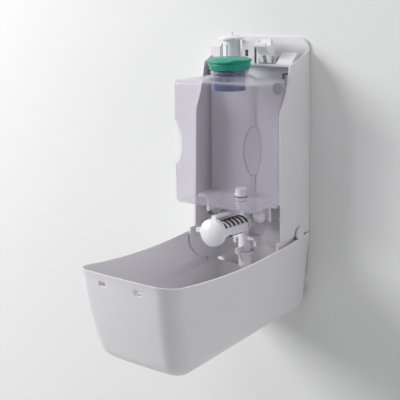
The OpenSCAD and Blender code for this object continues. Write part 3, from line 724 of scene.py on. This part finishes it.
# the flange winds once round the cap, dropping and stepping back up
WINDING_BAND = 7 * MM  # width that it takes in
WINDING_FADE = 6 * MM
WINDING_DEPTH = 3.5 * MM  # what lies further below the flange's top stays
WINDING_DROP = 1.8 * MM
WINDING_START = 0.12  # in turns
STEP_TURN = 0.06  # share of the turn that the step back up takes
PIN_HOLE_RADIUS = 0.9 * MM
PIN_HOLE_REACH = 60 * MM


class DISPENSER_OT_cap(bpy.types.Operator):
    """Makes the green filler cap with its raised disc and spiral brim"""

    bl_idname = "dispenser.cap"
    bl_label = "Filler cap"

    def execute(self, context):
        low, high, middle = cad_box("filler_cap")
        radius = (high.x - low.x) / 2
        top = high.z - low.z
        flange = top - DISC_RISE
        groove = radius - GROOVE_INSET
        skirt = radius - SKIRT_INSET
        outline = [(0, top), (radius - DISC_INSET, top)]
        outline += arc((radius - FLANGE_ROUND, flange - FLANGE_ROUND), FLANGE_ROUND, 90, -60, 8)
        outline += [(groove, flange - FLANGE_DROP)]
        outline += arc((groove - RIB_SUNK, flange - RIB_DROP), RIB_RADIUS, 60, -60, 6)
        outline += [(skirt, flange - SKIRT_DROP), (skirt - SKIRT_TAPER, 0), (skirt - SKIRT_WALL, 0)]
        outline += [(skirt - SKIRT_WALL, flange - ROOF_DROP), (0, flange - ROOF_DROP)]
        piece = turned("filler_cap_turned", outline, 144)
        for v in piece.data.vertices:
            reach = math.hypot(v.co.x, v.co.y)
            if reach > radius - WINDING_BAND and v.co.z > flange - WINDING_DEPTH:
                turn = (math.atan2(v.co.y, v.co.x) / math.tau + WINDING_START) % 1.0
                ramp = min(turn / (1 - STEP_TURN), (1 - turn) / STEP_TURN)
                weight = min(1.0, (reach - radius + WINDING_BAND) / WINDING_FADE)
                v.co.z -= WINDING_DROP * ramp * weight
        # pin hole in the middle
        bm = bmesh.new()
        bmesh.ops.create_cone(
            bm,
            cap_ends=True,
            segments=24,
            radius1=PIN_HOLE_RADIUS,
            radius2=PIN_HOLE_RADIUS,
            depth=PIN_HOLE_REACH,
        )
        combine(piece, object_from(bm, "pin_hole"))
        placed(piece, Matrix.Translation((middle.x, middle.y, low.z)))
        settle(piece, 50)
        dress(piece, finish_of("cap"), "cap", "cap_teal", "filler_cap")
        return {"FINISHED"}


# ---- springs ----

STEPS_PER_TURN = 40
SPRING_PLAY = 0.6 * MM  # room left at the pump spring's ends
BUTTON_WIRE = 0.9 * MM
BUTTON_TURNS = 5


def coil(name, start, axis, radius, wire, length, turns):
    """A round wire wound about an axis, by spinning a small circle along a screw."""
    bm = bmesh.new()
    bmesh.ops.create_circle(bm, cap_ends=False, segments=12, radius=wire / 2)
    bmesh.ops.rotate(bm, cent=(0, 0, 0), matrix=Matrix.Rotation(math.pi / 2, 3, "X"), verts=bm.verts)
    bmesh.ops.translate(bm, vec=(radius, 0, 0), verts=bm.verts)
    steps = STEPS_PER_TURN * turns
    bmesh.ops.spin(
        bm,
        geom=bm.verts[:] + bm.edges[:],
        cent=(0, 0, 0),
        axis=(0, 0, 1),
        dvec=(0, 0, length / steps),
        angle=math.tau * turns,
        steps=steps,
    )
    bmesh.ops.holes_fill(bm, edges=[e for e in bm.edges if e.is_boundary], sides=0)
    piece = object_from(bm, name)
    turn = Vector((0, 0, 1)).rotation_difference(axis).to_matrix().to_4x4()
    return settle(placed(piece, Matrix.Translation(start) @ turn), 60)


class DISPENSER_OT_springs(bpy.types.Operator):
    """Winds the pump's return spring and the button's spring"""

    bl_idname = "dispenser.springs"
    bl_label = "Springs"

    def execute(self, context):
        settings = context.scene.dispenser.spring
        low, high, middle = cad_box("pump_spring")
        radius = (high.x - low.x) / 2 - settings.wire / 2
        length = (high.y - low.y) - settings.wire - SPRING_PLAY - 2 * radius * abs(PUMP_AXIS.z)
        start = middle - PUMP_AXIS * length / 2
        piece = coil("pump_spring_coil", start, PUMP_AXIS, radius, settings.wire, length, settings.turns)
        dress(piece, finish_of("black_wire"), "wall_unit", "spring_black", "pump_spring")
        low, high, middle = cad_box("button_spring")
        radius = (high.x - low.x) / 2 - BUTTON_WIRE / 2
        length = high.z - low.z - BUTTON_WIRE
        start = Vector((middle.x, middle.y, low.z + BUTTON_WIRE / 2))
        up = Vector((0, 0, 1))
        piece = coil("button_spring_coil", start, up, radius, BUTTON_WIRE, length, BUTTON_TURNS)
        dress(piece, finish_of("steel"), "wall_unit", "steel", "button_spring")
        return {"FINISHED"}


# ---- carried-over CAD nodes ----


class DISPENSER_OT_finishes(bpy.types.Operator):
    """Gives every CAD node that keeps its own shape its finished material"""

    bl_idname = "dispenser.finishes"
    bl_label = "Finishes"

    def execute(self, context):
        cover_nodes(finish_of("shell"), "back_plate", "push_panel", "catch_bar")
        cover_nodes(finish_of("frame"), "carrier_frame", "latch_bracket")
        cover_nodes(
            finish_of("pump"),
            "pump_holder",
            "pump_body",
            "outlet_tube",
            "push_dome",
            "piston",
            "lock_button",
            "latch_hook",
            "inlet_spigot",
            "bottle_outlet",
        )
        cover_nodes(
            finish_of("steel"), "hinge_pins", "panel_pins", "hook_pin", "plunger_rod", "inlet_ball"
        )
        cover_nodes(finish_of("rubber"), "inlet_seal", "piston_seal", "outlet_gasket", "cap_gasket")
        cover_nodes(finish_of("silicone"), "outlet_valve")
        cover_nodes(finish_of("clip"), "bottle_clips")
        cover_nodes(finish_of("insert"), "neck_insert")
        return {"FINISHED"}


# ---- stage ----

WALL_GAP = 0.3 * MM  # between the dispenser's back and the wall
WALL_COLOUR = "#E9E9E8"
ROLLER_SIZE = 3 * MM  # texture that a paint roller leaves
ROLLER_DEPTH = 0.1 * MM
STAGE_REACH = 3.0
STAGE_TOP = 2.0
FLOOR_Z = -1.1
COVE_RADIUS = 0.4
# margins of the hole in the wall, inside the outline of the wall plate
HOLE_SIDE = 8.5 * MM
HOLE_FOOT = 28 * MM
HOLE_TOP = 6 * MM
# name, place, aim, side in metres and power in watts of each soft box
LIGHTS = (
    ("key", (-1.6, -1.2, 0.75), (0.0, -0.05, 0.0), 0.9, 38),
    ("fill", (1.9, -0.4, 0.35), (0.0, -0.05, -0.05), 0.9, 6),
    ("top", (-0.2, -0.8, 1.5), (0.0, -0.1, 0.0), 1.0, 7),
)
SKY_COLOUR = "#E6E8EC"
SKY_STRENGTH = 0.26
# aim and distance in metres, angles in degrees, lens and sensor in millimetres
CAMERA_AIM = Vector((-0.0450, -0.0600, -0.0518))
CAMERA_DISTANCE = 0.88584
CAMERA_AZIMUTH = 35.8
CAMERA_ELEVATION = 14.46
CAMERA_ROLL = -0.68
CAMERA_LENS = 70.28
SENSOR_WIDTH = 36


def add_light(name, at, aim, size, power):
    """A square soft box that faces a point."""
    light = bpy.data.lights.new(name, "AREA")
    light.shape = "SQUARE"
    light.size = size
    light.energy = power
    lamp = bpy.data.objects.new(name, light)
    lamp.location = at
    lamp.rotation_euler = (Vector(aim) - Vector(at)).to_track_quat("-Z", "Y").to_euler()
    bpy.context.scene.collection.objects.link(lamp)


def painted_wall(name, hex_code):
    """Matt wall paint, rolled on: almost even, with a soft roller texture. Its back can be seen through."""
    material, place = blank_material(name)
    roller = add_node(
        material, "ShaderNodeTexNoise", {"Vector": place, "Scale": 1 / ROLLER_SIZE, "Detail": 3}
    )
    bump = add_node(
        material,
        "ShaderNodeBump",
        {"Height": roller.outputs["Fac"], "Strength": 0.1, "Distance": ROLLER_DEPTH},
    )
    paint = add_node(
        material,
        "ShaderNodeBsdfPrincipled",
        {"Base Color": linear(hex_code) + (1,), "Roughness": 0.85, "Normal": bump.outputs["Normal"]},
    )
    clear = add_node(material, "ShaderNodeBsdfTransparent")
    side = add_node(material, "ShaderNodeNewGeometry")
    both = add_node(
        material,
        "ShaderNodeMixShader",
        {0: side.outputs["Backfacing"], 1: paint.outputs[0], 2: clear.outputs[0]},
    )
    return close_material(material, both)


class DISPENSER_OT_stage(bpy.types.Operator):
    """Sets up the wall and floor, the soft studio light and the camera"""

    bl_idname = "dispenser.stage"
    bl_label = "Stage"

    def execute(self, context):
        scene = context.scene
        wall_y = CAD_BOX[1][1] + WALL_GAP
        outline = ((wall_y, STAGE_TOP), (wall_y, FLOOR_Z), (-STAGE_REACH, FLOOR_Z))
        bm = bmesh.new()
        edge = [bm.verts.new((-STAGE_REACH, y, z)) for y, z in outline]
        edges = [bm.edges.new(pair) for pair in zip(edge, edge[1:])]
        swept = bmesh.ops.extrude_edge_only(bm, edges=edges)
        verts = [g for g in swept["geom"] if isinstance(g, bmesh.types.BMVert)]
        bmesh.ops.translate(bm, vec=(2 * STAGE_REACH, 0, 0), verts=verts)
        corner = [
            e
            for e in bm.edges
            if all(abs(v.co.z - FLOOR_Z) < MM and abs(v.co.y - wall_y) < MM for v in e.verts)
        ]
        bmesh.ops.bevel(
            bm, geom=corner, offset=COVE_RADIUS, segments=16, profile=0.5, material=-1, affect="EDGES"
        )
        # a hole hidden behind the wall plate lets its back be seen in daylight
        low, high, _ = cad_box("back_plate")
        hole_x = high.x - HOLE_SIDE
        hole_low = low.z + HOLE_FOOT
        hole_high = high.z - HOLE_TOP
        for at, facing in (
            ((hole_x, 0, 0), (1, 0, 0)),
            ((-hole_x, 0, 0), (1, 0, 0)),
            ((0, 0, hole_low), (0, 0, 1)),
            ((0, 0, hole_high), (0, 0, 1)),
        ):
            bmesh.ops.bisect_plane(
                bm, geom=bm.verts[:] + bm.edges[:] + bm.faces[:], plane_co=at, plane_no=facing
            )
        hidden = [
            f
            for f in bm.faces
            if abs(f.calc_center_median().x) < hole_x and hole_low < f.calc_center_median().z < hole_high
        ]
        bmesh.ops.delete(bm, geom=hidden, context="FACES")
        wall = object_from(bm, "wall_and_floor")
        facing = wall.data.polygons[0].normal
        if facing.y > 0 or facing.z < -0.5:
            wall.data.flip_normals()
        wall.data.polygons.foreach_set("use_smooth", [True] * len(wall.data.polygons))
        wall.data.materials.append(painted_wall("rolled_matt_wall_paint", WALL_COLOUR))

        for light in LIGHTS:
            add_light(*light)

        world = bpy.data.worlds.new("studio")
        world.use_nodes = True
        sky = world.node_tree.nodes["Background"]
        sky.inputs["Color"].default_value = linear(SKY_COLOUR) + (1,)
        sky.inputs["Strength"].default_value = SKY_STRENGTH
        scene.world = world
        scene.view_settings.view_transform = "Standard"

        azimuth = math.radians(CAMERA_AZIMUTH)
        elevation = math.radians(CAMERA_ELEVATION)
        back = Vector(
            (
                math.sin(azimuth) * math.cos(elevation),
                -math.cos(azimuth) * math.cos(elevation),
                math.sin(elevation),
            )
        )
        lens = bpy.data.cameras.new("camera")
        lens.lens = CAMERA_LENS
        lens.sensor_width = SENSOR_WIDTH
        camera = bpy.data.objects.new("camera", lens)
        turn = back.to_track_quat("Z", "Y").to_matrix() @ Matrix.Rotation(math.radians(CAMERA_ROLL), 3, "Z")
        camera.matrix_world = Matrix.Translation(CAMERA_AIM + back * CAMERA_DISTANCE) @ turn.to_4x4()
        scene.collection.objects.link(camera)
        scene.camera = camera
        return {"FINISHED"}


# ---- panel and registration ----


class DISPENSER_PT_tools(bpy.types.Panel):
    """Buttons and settings of the dispenser"""

    bl_idname = "DISPENSER_PT_tools"
    bl_label = "Soap dispenser"
    bl_space_type = "VIEW_3D"
    bl_region_type = "UI"
    bl_category = "Dispenser"

    def draw(self, context):
        settings = context.scene.dispenser
        for group in (settings.cover, settings.bottle, settings.plastic, settings.spring):
            box = self.layout.box()
            for key in group.__annotations__:
                box.prop(group, key)
        for operator in OPERATORS:
            self.layout.operator(operator.bl_idname)


OPERATORS = (
    DISPENSER_OT_cover,
    DISPENSER_OT_bottle,
    DISPENSER_OT_cap,
    DISPENSER_OT_springs,
    DISPENSER_OT_finishes,
    DISPENSER_OT_stage,
)
CLASSES = (
    CoverSettings,
    BottleSettings,
    PlasticSettings,
    SpringSettings,
    DispenserSettings,
    *OPERATORS,
    DISPENSER_PT_tools,
)


def register():
    """Registers every class and the settings on the scene."""
    for cls in CLASSES:
        bpy.utils.register_class(cls)
    bpy.types.Scene.dispenser = PointerProperty(
        type=DispenserSettings, name="Dispenser", description="Settings of the dispenser"
    )


def unregister():
    """Removes the settings and every class."""
    del bpy.types.Scene.dispenser
    for cls in reversed(CLASSES):
        bpy.utils.unregister_class(cls)


def main():
    """Builds the whole scene."""
    register()
    bpy.ops.dispenser.cover()
    bpy.ops.dispenser.bottle()
    bpy.ops.dispenser.cap()
    bpy.ops.dispenser.springs()
    bpy.ops.dispenser.finishes()
    bpy.ops.dispenser.stage()


if __name__ == "__main__":
    main()
